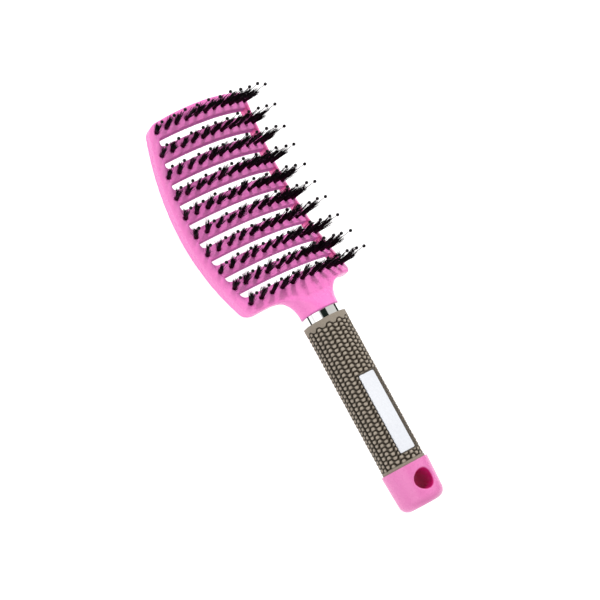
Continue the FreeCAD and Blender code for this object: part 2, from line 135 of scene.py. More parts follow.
# The grip's woven pads, its moulding seam and its smooth bands at both ends.
PAD_COLUMNS, PAD_PITCH, PAD_HEIGHT = 24, 2.39, 0.6
PAD_COLUMN_ANGLE = radians(10.6)
WEAVE_X, WEAVE_SWING, WEAVE_WOBBLE, WOBBLE_WAVES = 75.0, 0.78, 0.06, (1.3, 2.7)
GROOVE_WIDTH, GROOVE_WIDENING, GROOVE_DEPTH = 0.27, 0.33, 0.52
STEEP_LIMB, SHALLOW_LIMB, LIMB_FADE = 1.0, 0.84, (0.2, 0.55)
PAD_END_FADE, PAD_SIDE_FADE, PAD_FOOT = (0.2, 0.65), (0.25, 0.65), 0.24
PAD_LEVEL, PAD_UNEVENNESS, UNEVENNESS_WAVES = 0.93, 0.12, (12.9, 7.3)
BAND_LINE, BAND_BACK, BAND_FRONT_RUN, BAND_BACK_RUN = 7.05, 11.8, 0.14, 0.5
BAND_TONE, BAND_LEVEL = 0.64, 0.96
SEAM_ANGLE, SEAM_HALF_WIDTH, SEAM_DEPTH = radians(78.5), 0.62, 0.97

# The blank panel, and the plain lip of rubber round its bay, darkened as painted shade and black
# along its +Y edge as a painted shadow line.
PANEL_X0, PANEL_LENGTH, PANEL_WIDTH, PANEL_TOP, PANEL_DEPTH = 16.3, 44.6, 9.4, 11.3, 1.4
PANEL_CORNER, PANEL_EDGE, PANEL_GAP = 0.8, 0.3, 0.05
PANEL_CORNER_POINTS, PANEL_EDGE_STEPS = 7, 4
BAY_GAP, BAY_WALL, BAY_SLACK = 0.15, 0.02, 0.01
LIP_NARROW, LIP_WIDE, LIP_END, LIP_FADE, LIP_DROP, LIP_PAINTED_SHADE = 0.6, 2.4, 0.75, 0.3, 0.05, 0.3

# The rounded mouth of the cap's hanging hole, where the painted shade inside it comes in.
CAP_HOLE_MOUTH = (5.25, 5.9)

# ---------------------------------------------------------------- stage, in metres and watts
FLOOR_HALF, FLOOR_DROP, FLOOR_GLOW = 6.0, 0.04, 0.7
LIGHT_AIM = (0.12, 0, 0)
LIGHTS = (
    # name, place, size, power, seen in reflections
    ("key", (-0.15, 1.10, 0.70), (1.3, 1.0), 2.7, True),
    ("back", (0.70, -0.24, 0.78), (0.12, 0.12), 5.4, False),
    ("top", (-0.25, 0.10, 1.15), (0.8, 0.8), 1.6, False),
    ("fill", (0.05, -1.0, 0.9), (0.9, 0.7), 4.0, False),
)
# The room's angles run about X, from 0 overhead to 90 degrees on the +Y side.
ROOM_GREY, ROOM_WHITE, ROOM_DARK = (0.70, 0.695, 0.68), (1.0, 1.0, 1.0), (0.012, 0.018, 0.015)
WHITE_SIDE = (radians(10), radians(40))
OVERHEAD_NEAR, OVERHEAD_FAR = (radians(-9.5), radians(-6.5)), (radians(25), radians(37))
LOW_STRIP, LOW_STRIP_HALF_WIDTH = radians(-82), radians(9)
DARK_ENDS = (0.28, 0.4)
SENSOR, LENS, CLIP_START = 36.0, 96.58, 0.05
CAMERA_PLACE = (0.0046, 0.4322, 0.7083)
CAMERA_AHEAD = (0.12730, -0.51039, -0.85038)
CAMERA_UP = (0.87078, -0.35240, 0.34200)


# ---------------------------------------------------------------- distance fields
def round_and(a, b, r):
    """Where two solids overlap, with the edge rounded to radius r."""
    edge = np.hypot(np.maximum(a + r, 0), np.maximum(b + r, 0))
    return np.minimum(-r, np.maximum(a, b)) + edge


def round_or(a, b, r):
    """Two solids together, with a fillet of radius r between them."""
    fillet = np.hypot(np.maximum(r - a, 0), np.maximum(r - b, 0))
    return np.maximum(r, np.minimum(a, b)) - fillet


def ramp(t):
    """0 to 1, smooth at both ends."""
    t = np.clip(t, 0, 1)
    return t * t * (3 - 2 * t)


def fade(value, start, run):
    """0 up to the start and 1 past the run, smooth in between."""
    return ramp((value - start) / run)


def surface_z(x, y):
    """Height of the bristle field above a point of the plan."""
    reach = RING_RAD - sqrt(SECTION_RAD**2 - y**2)
    return SPINE_Z - sqrt(reach**2 - (x - SPINE_X) ** 2)


def depth_below(x, y, z):
    """How deep a point lies under the bristle field."""
    ring = np.hypot(x - SPINE_X, z - SPINE_Z)
    return SECTION_RAD - np.hypot(RING_RAD - ring, y)


def head_plan(x, y):
    """Signed distance to the head's outline, seen from the bristle side."""
    side = np.hypot(x - APEX_X, np.abs(y) + SIDE_RAD - HALF_WIDTH) - SIDE_RAD
    tip = np.hypot(x - (TIP_X - TIP_RAD), y) - TIP_RAD
    return round_and(round_and(side, tip, TIP_CORNER), HEEL_X - x, HEEL_CORNER)


def neck_field(x, y, z):
    """The neck: round at the collar, flared sideways by a concave arc, faded under the heel."""
    flare = HEEL_X - NECK_X
    run = np.clip(x - NECK_X, 0, flare)
    wide = NECK_RAD + SHOULDER_RAD - np.sqrt(SHOULDER_RAD**2 - run**2)
    tall = NECK_RAD - NECK_DROP * run
    past = np.clip((x - HEEL_X) / NECK_FADE, 0, 1)
    wide = wide * np.interp(past, NECK_FADE_STEPS, NECK_FADE_WIDE)
    tall = tall * np.interp(past, NECK_FADE_STEPS, NECK_FADE_TALL)
    body = (np.hypot(y / wide, z / tall) - 1) * np.minimum(wide, tall)
    ends = np.maximum(COLLAR_FRONT - x, x - HEEL_X - NECK_FADE)
    return round_and(body, ends, NECK_EDGE)


def rim_height(x, plan):
    """How far the rim and its ridge stand above the bristle field."""
    rise = RIM_RISE * fade(plan, -RIM_RISE_IN, RIM_RISE_RUN)
    ridge = RIM_RIDGE * np.exp(-(((plan + RIM_RIDGE_IN) / RIM_RIDGE_RUN) ** 2))
    return (rise + ridge) * fade(x - HEEL_X, *RIM_HEEL_FADE)


def vent_field(row, x, plan, depth):
    """Signed distance to the vent next to a row, a little narrower with depth."""
    off = x - (LAST_ROW_X - (row + 0.5) * ROW_PITCH + SLOT_SHIFT)
    half = SLOT_WIDTH / 2 - SLOT_DRAFT * np.clip(depth, 0, RIB_DEPTH)
    tip_side = round_and(off - half, plan + SLOT_MARGIN, SLOT_TIP_CORNER)
    heel_side = round_and(-off - half, plan + SLOT_MARGIN, SLOT_HEEL_CORNER)
    return np.maximum(tip_side, heel_side)


def head_field(x, y, z):
    """Signed distance to the whole head: plate, rim, ribs, vents, neck and tang."""
    depth = depth_below(x, y, z)
    plan = head_plan(x, y)
    wall = round_and(plan, depth - RIM_DEPTH, WALL_EDGE)
    under = round_and(plan + RIM_WALL, RIB_DEPTH - depth, UNDER_EDGE)
    wall = round_and(wall, -under, INNER_EDGE)
    body = round_or(wall, neck_field(x, y, z), NECK_FILLET)
    body = round_and(body, -(depth + rim_height(x, plan)), RIM_ROUND)
    for row in range(ROWS - 1):
        body = round_and(body, -vent_field(row, x, plan, depth), SLOT_EDGE)
    ends = np.maximum(TANG_END - x, x - NECK_X - TANG_OVERLAP)
    tang = np.maximum(np.hypot(y, z) - TANG_RAD, ends)
    return np.minimum(body, tang)


def bristle_seats(row):
    """Foot, sideways tilt and lean of each hole in a row, counted from 0 at the tip."""
    x = LAST_ROW_X - row * ROW_PITCH
    along = row / (ROWS - 1) - 0.5
    half_arc = ROW_HALF_ARC + ROW_ARC_LEAN * along - ROW_ARC_BOW * along**2
    seats = []
    for j in range(TUFTS):
        tilt = (1 - 2 * j / (TUFTS - 1)) * half_arc / SECTION_RAD
        y = SECTION_RAD * sin(tilt)
        seats.append((Vector((x, y, surface_z(x, y))), tilt, 2 * along))
    return seats


def direction(tilt, along, fan, lean, turn):
    """Unit vector of a pin or tuft: fan is its share of the tilt; lean and turn are in degrees."""
    tip = radians(lean + turn * along)
    side = fan * tilt
    return Vector((sin(tip), cos(tip) * sin(side), cos(tip) * cos(side)))


def pin_direction(tilt, along):
    return direction(tilt, along, fan=0.62, lean=-0.6, turn=2.7)


def tuft_direction(tilt, along):
    return direction(tilt, along, fan=0.72, lean=2.6, turn=4.2)


def drill(field, low, step):
    """Cuts the blind tuft holes into the sampled field, one small block each."""
    reach = HOLE_DEPTH + HOLE_RAD
    for row in range(ROWS):
        for foot, tilt, along in bristle_seats(row):
            way = np.array(pin_direction(tilt, along))
            foot = np.array(foot)
            a = np.maximum(((foot - reach - low) / step).astype(int), 0)
            b = np.minimum(((foot + reach - low) / step).astype(int), np.array(field.shape))
            axes = [low[k] + step * np.arange(a[k], b[k]) - foot[k] for k in range(3)]
            block = np.meshgrid(*axes, indexing="ij")
            high = block[0] * way[0] + block[1] * way[1] + block[2] * way[2]
            flat = np.sqrt(np.maximum(block[0] ** 2 + block[1] ** 2 + block[2] ** 2 - high**2, 0))
            hole = np.maximum(flat - HOLE_RAD, -HOLE_DEPTH - high)
            part = field[a[0]:b[0], a[1]:b[1], a[2]:b[2]]
            part[...] = round_and(part, -hole, HOLE_EDGE)


# ---------------------------------------------------------------- mesh helpers
def add_piece(name, mesh, material):
    """Puts a finished mesh into the scene as one smooth-shaded piece."""
    mesh.validate()
    mesh.polygons.foreach_set("use_smooth", np.ones(len(mesh.polygons), bool))
    piece = bpy.data.objects.new(name, mesh)
    bpy.context.scene.collection.objects.link(piece)
    piece.data.materials.append(material)
    return piece


def mesh_object(name, points, faces, material):
    """A piece from points in millimetres and faces of any number of sides."""
    mesh = bpy.data.meshes.new(name)
    mesh.from_pydata([tuple(p) for p in np.asarray(points) * MM], [], [tuple(f) for f in faces])
    return add_piece(name, mesh, material)


def fast_mesh(name, points, faces, material):
    """As mesh_object, but for large arrays of faces that all have the same number of sides."""
    points = np.asarray(points, np.float32) * MM
    faces = np.asarray(faces, np.int32)
    mesh = bpy.data.meshes.new(name)
    mesh.vertices.add(len(points))
    mesh.vertices.foreach_set("co", points.ravel())
    mesh.loops.add(faces.size)
    mesh.loops.foreach_set("vertex_index", faces.ravel())
    mesh.polygons.add(len(faces))
    starts = np.arange(0, faces.size, faces.shape[1], dtype=np.int32)
    mesh.polygons.foreach_set("loop_start", starts)
    mesh.update(calc_edges=True)
    return add_piece(name, mesh, material)


def add_layer(piece, name, values):
    """Stores one number per point, for a material to read."""
    layer = piece.data.attributes.new(name, "FLOAT", "POINT")
    layer.data.foreach_set("value", values.astype(np.float32))


def solid_from_field(name, low, high, step, field, carve, material):
    """Meshes the zero surface of a distance field over a box, after carving the sampled field."""
    low = np.array(low, float)
    count = np.ceil((np.array(high) - low) / step).astype(int) + 1
    axes = [low[k] + step * np.arange(count[k]) for k in range(3)]
    grid = np.meshgrid(*axes, indexing="ij", sparse=True)
    values = np.broadcast_to(field(*grid), count).astype(np.float32).copy()
    carve(values, low, step)
    values = np.clip(values, -3 * step, 3 * step)
    volume = openvdb.FloatGrid(3 * step)
    volume.copyFromArray(values)
    points, quads = volume.convertToQuads(0.0)
    return fast_mesh(name, points * step + low, quads[:, ::-1], material)


def tube_faces(rings, around, first=0):
    """Quads between consecutive rings of points."""
    faces = []
    for r in range(rings - 1):
        for k in range(around):
            a = first + r * around + k
            b = first + r * around + (k + 1) % around
            faces.append((a, b, b + around, a + around))
    return faces


def merge_close(piece, gap):
    """Closes poles and seams."""
    mesh = bmesh.new()
    mesh.from_mesh(piece.data)
    bmesh.ops.remove_doubles(mesh, verts=mesh.verts, dist=gap * MM)
    bmesh.ops.recalc_face_normals(mesh, faces=mesh.faces)
    mesh.to_mesh(piece.data)
    mesh.free()
    piece.data.polygons.foreach_set("use_smooth", [True] * len(piece.data.polygons))


# ---------------------------------------------------------------- material helpers
def new_material(name):
    material = bpy.data.materials.new(name)
    material.use_nodes = True
    tree = material.node_tree
    return material, tree, tree.nodes["Principled BSDF"]


def fill(tree, socket, term):
    """Sets a socket to a number or a colour, or links it to another node's output."""
    if isinstance(term, bpy.types.NodeSocket):
        tree.links.new(term, socket)
    elif isinstance(term, tuple):
        socket.default_value = (*term, 1)
    else:
        socket.default_value = term


def object_space(tree):
    return tree.nodes.new("ShaderNodeTexCoord").outputs["Object"]


def axes_of(tree, place):
    split = tree.nodes.new("ShaderNodeSeparateXYZ")
    tree.links.new(place, split.inputs[0])
    return split.outputs


def noise(tree, scale, detail):
    made = tree.nodes.new("ShaderNodeTexNoise")
    made.inputs["Scale"].default_value = scale
    made.inputs["Detail"].default_value = detail
    made.inputs["Roughness"].default_value = 0.55
    tree.links.new(object_space(tree), made.inputs["Vector"])
    return made.outputs["Fac"]


def mix(tree, factor, first, second, blend="MIX"):
    """A colour between two others, each of them a colour or a node's output."""
    made = tree.nodes.new("ShaderNodeMix")
    made.data_type = "RGBA"
    made.blend_type = blend
    fill(tree, made.inputs["Factor"], factor)
    fill(tree, made.inputs["A"], first)
    fill(tree, made.inputs["B"], second)
    return made.outputs["Result"]


def spread(tree, value, window, result=(0.0, 1.0)):
    """Carries a window of values over to another smoothly, and holds its ends."""
    made = tree.nodes.new("ShaderNodeMapRange")
    made.interpolation_type = "SMOOTHSTEP"
    tree.links.new(value, made.inputs["Value"])
    made.inputs["From Min"].default_value, made.inputs["From Max"].default_value = window
    made.inputs["To Min"].default_value, made.inputs["To Max"].default_value = result
    return made.outputs["Result"]


def calculate(tree, operation, *terms):
    """A sum on numbers or nodes' outputs."""
    made = tree.nodes.new("ShaderNodeMath")
    made.operation = operation
    for socket, term in zip(made.inputs, terms):
        fill(tree, socket, term)
    return made.outputs[0]


def mesh_layer(tree, name):
    """What add_layer stored on the mesh."""
    made = tree.nodes.new("ShaderNodeAttribute")
    made.attribute_name = name
    return made.outputs["Fac"]


def mottle(tree, scale, detail, window, tones):
    """A colour that wanders between two tones."""
    return mix(tree, spread(tree, noise(tree, scale, detail), window), *tones)


def uneven_gloss(tree, shader, scale, detail, window, roughness):
    """Roughness that wanders between two values."""
    gloss = spread(tree, noise(tree, scale, detail), window, roughness)
    tree.links.new(gloss, shader.inputs["Roughness"])


def bump(tree, shader, scale, detail, strength, distance):
    """Fine grain in the surface."""
    made = tree.nodes.new("ShaderNodeBump")
    made.inputs["Strength"].default_value = strength
    made.inputs["Distance"].default_value = distance
    tree.links.new(noise(tree, scale, detail), made.inputs["Height"])
    tree.links.new(made.outputs["Normal"], shader.inputs["Normal"])


# ---------------------------------------------------------------- materials
def pink_plastic(name, tone, shade, deep, painted_shade_part, painted_glow=None):
    """Satin moulded plastic with faint flow marks, orange-peel gloss and light scuffs, darkened to
    the deep tone as painted shade where its shade part says, and tinted as a painted glow where the
    glow layer says.
    """
    material, tree, shader = new_material(name)
    open_face = mottle(
        tree,
        scale=30.0,
        detail=2.0,
        window=(0.35, 0.65),
        tones=(tone, shade),
    )
    # Where shade is painted in: the colour goes to the deep tone, the gloss rougher and duller.
    hidden = painted_shade_part(tree)
    colour = mix(tree, hidden, open_face, deep)
    # A painted glow: light through the plastic, painted in as a saturated tone.
    if painted_glow:
        colour = mix(tree, mesh_layer(tree, "painted_glow"), colour, painted_glow)
    tree.links.new(colour, shader.inputs["Base Color"])
    scuffs = spread(tree, noise(tree, scale=300.0, detail=3.0), (0.3, 0.75), (0.25, 0.31))
    rough = calculate(tree, "MAXIMUM", scuffs, spread(tree, hidden, (0.0, 1.0), (0.0, 0.7)))
    tree.links.new(rough, shader.inputs["Roughness"])
    specular = spread(tree, hidden, (0.0, 1.0), (0.5, 0.12))
    tree.links.new(specular, shader.inputs["Specular IOR Level"])
    bump(tree, shader, scale=500.0, detail=2.0, strength=0.01, distance=0.0001)
    return material


def head_painted_shade(tree):
    """The head's painted shade layer, stored by make_head."""
    return mesh_layer(tree, "shade")


def hole_painted_shade(tree):
    """Painted shade: 1 inside the cap's hanging hole, 0 outside its rounded mouth."""
    axes = axes_of(tree, object_space(tree))
    flat = tree.nodes.new("ShaderNodeCombineXYZ")
    tree.links.new(axes["X"], flat.inputs["X"])
    tree.links.new(axes["Y"], flat.inputs["Y"])
    reach = tree.nodes.new("ShaderNodeVectorMath")
    reach.operation = "LENGTH"
    tree.links.new(flat.outputs[0], reach.inputs[0])
    mouth = (CAP_HOLE_MOUTH[0] * MM, CAP_HOLE_MOUTH[1] * MM)
    return spread(tree, reach.outputs["Value"], mouth, (1.0, 0.0))


def taupe_rubber():
    """Matt rubber with a fine speckle, coloured from the relief: painted shade dark in the grooves
    of the weave, in the bore and on the panel's lip, pale on the pads.
    """
    material, tree, shader = new_material("taupe_rubber")
    pads = spread(tree, mesh_layer(tree, "relief"), (0.0, 1.0))
    # Painted shade: near black where the relief is low, in the grooves and hollows.
    painted_weave_shade = mix(tree, pads, (0.012, 0.007, 0.002), (0.375, 0.322, 0.262))
    speckle = mottle(
        tree,
        scale=1500.0,
        detail=3.0,
        window=(0.35, 0.7),
        tones=((0.72, 0.72, 0.72), (1.0, 1.0, 1.0)),
    )
    tree.links.new(mix(tree, 0.35, painted_weave_shade, speckle, "MULTIPLY"), shader.inputs["Base Color"])
    uneven_gloss(tree, shader, scale=700.0, detail=3.0, window=(0.3, 0.7), roughness=(0.55, 0.75))
    shader.inputs["Specular IOR Level"].default_value = 0.18
    bump(tree, shader, scale=2600.0, detail=3.0, strength=0.25, distance=0.00008)
    return material


def chrome():
    """Bright plating with a painted reflection: a dark line along the collar on its +Y side."""
    material, tree, shader = new_material("chrome")
    shader.inputs["Metallic"].default_value = 1.0
    plate = mottle(
        tree,
        scale=60.0,
        detail=2.0,
        window=(0.3, 0.7),
        tones=((0.86, 0.87, 0.86), (0.92, 0.92, 0.90)),
    )
    axes = axes_of(tree, object_space(tree))
    # A painted reflection: a thin dark line round the collar, standing for the dark room mirrored
    # there.
    around = calculate(tree, "ARCTAN2", axes["Y"], axes["Z"])
    off = calculate(tree, "ABSOLUTE", calculate(tree, "SUBTRACT", around, PAINTED_REFLECTION_ON_COLLAR))
    seam = spread(tree, off, PAINTED_REFLECTION_ON_COLLAR_EDGE, (1.0, 0.0))
    tree.links.new(mix(tree, seam, plate, (0.012, 0.012, 0.013)), shader.inputs["Base Color"])
    uneven_gloss(tree, shader, scale=900.0, detail=4.0, window=(0.35, 0.8), roughness=(0.03, 0.08))
    bump(tree, shader, scale=1200.0, detail=3.0, strength=0.02, distance=0.00005)
    return material


def white_plastic():
    """The panel's cool white, smooth and slightly glossy."""
    material, tree, shader = new_material("white_plastic")
    colour = mottle(
        tree,
        scale=45.0,
        detail=2.0,
        window=(0.3, 0.7),
        tones=((0.64, 0.655, 0.70), (0.68, 0.695, 0.735)),
    )
    tree.links.new(colour, shader.inputs["Base Color"])
    uneven_gloss(tree, shader, scale=600.0, detail=4.0, window=(0.3, 0.75), roughness=(0.22, 0.34))
    bump(tree, shader, scale=1100.0, detail=2.0, strength=0.04, distance=0.00006)
    return material


def bristle_hair():
    """Dark natural bristle, nearly black from the middle on, tinted magenta at the root as a painted
    reflection of the pink head.
    """
    material, tree, shader = new_material("bristle_hair")
    outer = spread(tree, mesh_layer(tree, "along"), (0.15, 0.6))
    # Painted reflection: the roots' magenta tint stands for pink light from the head.
    colour = mix(tree, outer, (0.055, 0.002, 0.026), (0.007, 0.004, 0.006))
    tree.links.new(colour, shader.inputs["Base Color"])
    uneven_gloss(tree, shader, scale=2500.0, detail=2.0, window=(0.3, 0.7), roughness=(0.6, 0.75))
    shader.inputs["Specular IOR Level"].default_value = 0.06
    return material


def black_nylon():
    """The pins' black nylon, half matt."""
    material, tree, shader = new_material("black_nylon")
    colour = mottle(
        tree,
        scale=300.0,
        detail=2.0,
        window=(0.3, 0.7),
        tones=((0.004, 0.003, 0.004), (0.008, 0.006, 0.008)),
    )
    tree.links.new(colour, shader.inputs["Base Color"])
    uneven_gloss(tree, shader, scale=1800.0, detail=3.0, window=(0.3, 0.7), roughness=(0.34, 0.46))
    shader.inputs["Specular IOR Level"].default_value = 0.15
    return material


def plain_inner(name, first, second, metallic):
    """For the hidden pieces: the core tube and the wire staples."""
    material, tree, shader = new_material(name)
    shader.inputs["Metallic"].default_value = metallic
    colour = mottle(
        tree,
        scale=150.0,
        detail=4.0,
        window=(0.3, 0.7),
        tones=(first, second),
    )
    tree.links.new(colour, shader.inputs["Base Color"])
    uneven_gloss(tree, shader, scale=900.0, detail=3.0, window=(0.3, 0.7), roughness=(0.35, 0.55))
    return material


# On the head, deep is the painted shade on the vent walls, collar lip and field, and the last tone
# is a painted glow on the far rim.
HEAD_PINK = pink_plastic(
    "head_pink",
    tone=(0.80, 0.180, 0.50),
    shade=(0.83, 0.195, 0.53),
    deep=(0.52, 0.13, 0.40),
    painted_shade_part=head_painted_shade,
    painted_glow=(0.80, 0.085, 0.36),
)
# On the cap, deep is the painted shade inside the hanging hole.
CAP_PINK = pink_plastic(
    "cap_pink",
    tone=(0.68, 0.172, 0.42),
    shade=(0.70, 0.182, 0.445),
    deep=(0.52, 0.007, 0.14),
    painted_shade_part=hole_painted_shade,
)
TAUPE = taupe_rubber()
CHROME = chrome()
WHITE = white_plastic()
BRISTLE = bristle_hair()
NYLON = black_nylon()
CORE = plain_inner("core_plastic", (0.10, 0.09, 0.08), (0.14, 0.13, 0.12), 0.0)
WIRE = plain_inner("staple_wire", (0.55, 0.55, 0.53), (0.66, 0.66, 0.64), 1.0)


# ---------------------------------------------------------------- head
def off_vent(x):
    """Distance along X to the middle line of the nearest vent."""
    pitches = (LAST_ROW_X + SLOT_SHIFT - x) / ROW_PITCH - 0.5
    nearest = np.clip(np.round(pitches), 0, ROWS - 2)
    return np.abs(pitches - nearest) * ROW_PITCH


def painted_shade_amount(points):
    """Painted shade: 1 on the vents' long walls, less on the lip at the collar (a painted contact
    shadow) and on the field between the tufts, 0 elsewhere.
    """
    x, y, z = points.T
    plan = head_plan(x, y)
    depth = depth_below(x, y, z)
    walls = fade(-plan - SLOT_MARGIN, *VENT_END_FADE)
    walls = walls * fade(SLOT_WIDTH / 2 - off_vent(x), *VENT_SIDE_FADE) * fade(depth, *VENT_TOP_FADE)
    lip = fade(COLLAR_FRONT - x, *COLLAR_LIP_FADE)
    lip = lip * fade(np.hypot(y, z) - TANG_RAD, *COLLAR_BORE_FADE)
    field = fade(-plan, *FIELD_RIM_FADE)
    field = field * fade(x - HEEL_X, *FIELD_HEEL_FADE) * fade(-depth, *FIELD_UNDER_FADE)
    return np.maximum(walls, np.maximum(LIP_SHADE * lip, FIELD_SHADE * field))


def painted_glow_amount(points):
    """Painted glow: 1 on the far rim beside each vent's end, where light glowing through the plastic
    is painted in, 0 elsewhere.
    """
    x, y, _ = points.T
    plan = head_plan(x, y)
    ends = fade(plan + SLOT_MARGIN, *PAINTED_GLOW_INNER_FADE) * fade(-plan, *PAINTED_GLOW_OUTER_FADE)
    return np.where(y < 0, ends * fade(-off_vent(x), *PAINTED_GLOW_SIDE_FADE), 0)


def make_head():
    low, high = (np.array(corner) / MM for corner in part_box("head_frame"))
    piece = solid_from_field(
        "head_shell",
        low - HEAD_MARGIN,
        high + HEAD_MARGIN,
        HEAD_STEP,
        head_field,
        drill,
        HEAD_PINK,
    )
    points = np.empty(len(piece.data.vertices) * 3, np.float32)
    piece.data.vertices.foreach_get("co", points)
    points = points.reshape(-1, 3) / MM
    # Painted shade and painted glow, stored for the head's material to read.
    add_layer(piece, "shade", painted_shade_amount(points))
    add_layer(piece, "painted_glow", painted_glow_amount(points))
    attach(piece, "root")
    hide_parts("head_frame")


# ---------------------------------------------------------------- bristles and pins
def strand_faces(count, rings):
    """Faces of three-sided strands, each closed at its root and tip."""
    faces = []
    for r in range(rings - 1):
        for k in range(3):
            a, b = 3 * r + k, 3 * r + (k + 1) % 3
            faces.append((a, b, b + 3))
            faces.append((a, b + 3, a + 3))
    faces.append((rings * 3 - 3, rings * 3 - 2, rings * 3 - 1))
    faces.append((2, 1, 0))
    faces = np.array(faces)[None] + (np.arange(count) * rings * 3)[:, None, None]
    return faces.reshape(-1, 3)


def bristle_strands(rng, foot, way, count):
    """Tapered three-sided strands of one tuft: points, faces and how far along each point is."""
    side = way.orthogonal().normalized()
    other = way.cross(side)
    side, other, way, foot = (np.array(v) for v in (side, other, way, foot))
    clump = rng.integers(0, TUFT_CLUMPS, count)
    clump_turn = rng.uniform(0, 2 * pi, TUFT_CLUMPS)
    clump_out = CLUMP_REACH * np.sqrt(rng.uniform(0.05, 1, TUFT_CLUMPS))
    clump_drift = rng.normal(0, CLUMP_DRIFT, (TUFT_CLUMPS, 2))
    clump_length = rng.normal(0, CLUMP_LENGTH, TUFT_CLUMPS)
    turn = rng.uniform(0, 2 * pi, count)
    stray = rng.uniform(0, 1, count) < STRAY_SHARE
    root = np.stack([clump_out * np.cos(clump_turn), clump_out * np.sin(clump_turn)], 1)[clump]
    root = root + rng.normal(0, ROOT_SCATTER, (count, 2))
    length = STRAND_LENGTH + clump_length[clump] + rng.normal(0, LENGTH_SCATTER, count)
    length = length + np.where(stray, rng.uniform(*STRAY_EXTRA, count), 0)
    flare = STRAND_FLARE + rng.normal(0, FLARE_SCATTER, count)
    drift = rng.normal(0, DRIFT_SCATTER, (count, 2)) * np.where(stray, STRAY_DRIFT, 1.0)[:, None]
    drift = clump_drift[clump] + drift
    bow = rng.normal(0, STRAND_BOW, (count, 2))
    thick = rng.uniform(*STRAND_THICK, count)
    points = []
    along = []
    for t in STRAND_STEPS:
        flat = root * (1 + flare[:, None] * t**0.9) + drift * t**1.5 + bow * (t - t * t)
        high = -STRAND_BURIED + (length + STRAND_BURIED) * t
        centre = foot + flat[:, :1] * side + flat[:, 1:] * other + high[:, None] * way
        radius = thick * (1 - STRAND_TAPER * t**3)
        for k in range(3):
            angle = 2 * pi * k / 3 + turn
            across = (radius * np.cos(angle))[:, None] * side
            points.append(centre + across + (radius * np.sin(angle))[:, None] * other)
            along.append(np.full(count, t))
    points = np.stack(points, 1).reshape(-1, 3)
    return points, strand_faces(count, len(STRAND_STEPS)), np.stack(along, 1).ravel()


def make_tuft_row(row, rng):
    points, faces, along, total = [], [], [], 0
    for foot, tilt, lean in bristle_seats(row):
        way = tuft_direction(tilt, lean)
        way = (way + Vector(rng.normal(0, TUFT_WANDER, 3))).normalized()
        tuft_points, tuft_faces, tuft_along = bristle_strands(rng, foot, way, TUFT_STRANDS)
        points.append(tuft_points)
        faces.append(tuft_faces + total)
        along.append(tuft_along)
        total += len(tuft_points)
    name = "bristles_%02d" % (row + 1)
    piece = fast_mesh(name, np.concatenate(points), np.concatenate(faces), BRISTLE)
    add_layer(piece, "along", np.concatenate(along))
    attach(piece, "root")
    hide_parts("tuft_row_%02d" % (row + 1))


def pin_profile():
    """Radius and height pairs up one pin, from its pole inside the hole to the top of its ball."""
    pairs = [
        (0.0, -PIN_SINK),
        (PIN_RAD, -PIN_SINK),
        (PIN_RAD, 0.0),
        (PIN_STEM_RAD, PIN_STEM_AT),
        (PIN_WAIST_RAD, PIN_WAIST_AT),
    ]
    start = asin(PIN_WAIST_RAD / PIN_BALL_RAD)
    for k in range(PIN_BALL_STEPS + 1):
        angle = pi - start - (pi - start) * k / PIN_BALL_STEPS
        high = PIN_BALL_AT + PIN_BALL_STRETCH * PIN_BALL_RAD * cos(angle)
        pairs.append((PIN_BALL_RAD * sin(angle), high))
    return pairs


def make_pin_row(row, rng):
    pairs = pin_profile()
    points, faces = [], []
    for foot, tilt, lean in bristle_seats(row):
        way = pin_direction(tilt, lean)
        way = (way + Vector(rng.normal(0, PIN_WANDER, 3))).normalized()
        side = way.orthogonal().normalized()
        other = way.cross(side)
        faces += tube_faces(len(pairs), PIN_AROUND, len(points))
        for radius, high in pairs:
            for k in range(PIN_AROUND):
                angle = 2 * pi * k / PIN_AROUND
                across = (side * cos(angle) + other * sin(angle)) * radius
                points.append(foot + way * high + across)
    piece = mesh_object("pins_%02d" % (row + 1), np.array(points), faces, NYLON)
    merge_close(piece, 0.002)
    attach(piece, "root")
    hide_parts("pin_row_%02d" % (row + 1))


# ---------------------------------------------------------------- grip
def weave(x, angle):
    """The grip's woven pattern and its smooth end bands, each as a height from 0 to 1.

    A zigzag groove, which the rubber's material paints dark as shade, runs round the grip once per
    pitch, high at every second column. Its limbs are deep between the columns and shallow over them,
    and a pad stands in each column between two.
    """
    columns = (angle - PAD_COLUMN_ANGLE) / (2 * pi / PAD_COLUMNS)
    x = x + WEAVE_WOBBLE * np.sin(WOBBLE_WAVES[0] * x + WOBBLE_WAVES[1] * columns)
    swing = np.sin(pi / 2 * np.sin(pi / 2 * (1 - 2 * np.abs(np.mod(columns, 2) - 1))))
    line = (x - WEAVE_X - WEAVE_SWING * swing) / PAD_PITCH
    number = np.round(line)
    off = np.abs(line - number) * PAD_PITCH
    edge = 2 * np.abs(columns - np.round(columns))
    limb = fade(edge, *LIMB_FADE)
    steep = np.where(np.mod(np.floor(columns), 2) > 0, STEEP_LIMB, SHALLOW_LIMB)
    width = GROOVE_WIDTH + GROOVE_WIDENING * limb
    groove = np.exp(-((off / width) ** 2)) * (GROOVE_DEPTH + (steep - GROOVE_DEPTH) * limb)
    pad = fade(off, *PAD_END_FADE) * (1 - fade(edge, *PAD_SIDE_FADE))
    waves = UNEVENNESS_WAVES[0] * np.round(columns) + UNEVENNESS_WAVES[1] * number
    pad = pad * (PAD_LEVEL + PAD_UNEVENNESS * np.sin(waves))
    relief = (PAD_FOOT + (1 - PAD_FOOT) * pad) * (1 - groove)
    band = np.maximum(fade(line, BAND_LINE, BAND_FRONT_RUN), fade(-x, -BAND_BACK, BAND_BACK_RUN))
    return relief + (BAND_TONE - relief) * band, band


